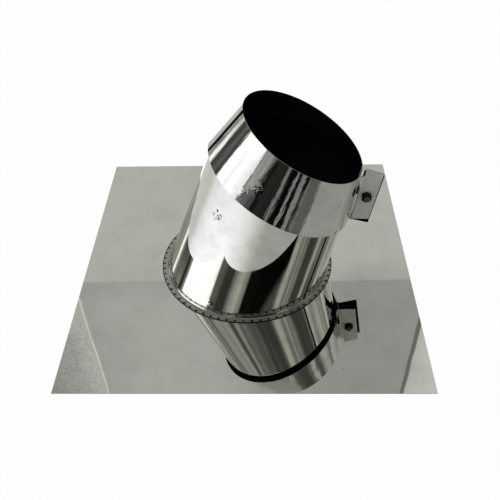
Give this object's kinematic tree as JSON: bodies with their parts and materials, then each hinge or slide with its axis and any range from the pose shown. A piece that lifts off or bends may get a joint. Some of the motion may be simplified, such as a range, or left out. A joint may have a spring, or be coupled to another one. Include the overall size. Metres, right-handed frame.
{
  "type": "roof flashing",
  "caption": "Flat sheet roof plate with a leaning, tapered flue upstand joined to it by a welded flange, topped by a split conical storm collar that a bolt through two lugs clamps",
  "frame": {"origin": "middle of the underside of the square base plate", "axes": "+Z is the normal of the base plate, away from the roof; the upstand and the collar lean towards +X, and the clamp lugs stand out on the +X side; +Y completes the frame"},
  "size_m": [0.5, 0.5, 0.2751],
  "materials": {
    "plate_sheet": "mirror-polished stainless sheet, with the faint waves of a thin flat sheet",
    "upstand_sheet": "bright stainless sheet, rolled, with a fine welded seam and a row of spot welds on its flange",
    "collar_sheet": "bright stainless sheet, rolled, plain cut edges",
    "fastener": "dark, dull steel"
  },
  "bodies": {
    "root": {"base_plate": "plate_sheet", "upstand": "upstand_sheet", "storm_collar": "collar_sheet", "clamp_bolt": "fastener", "clamp_nut": "fastener"}
  },
  "joints": []
}
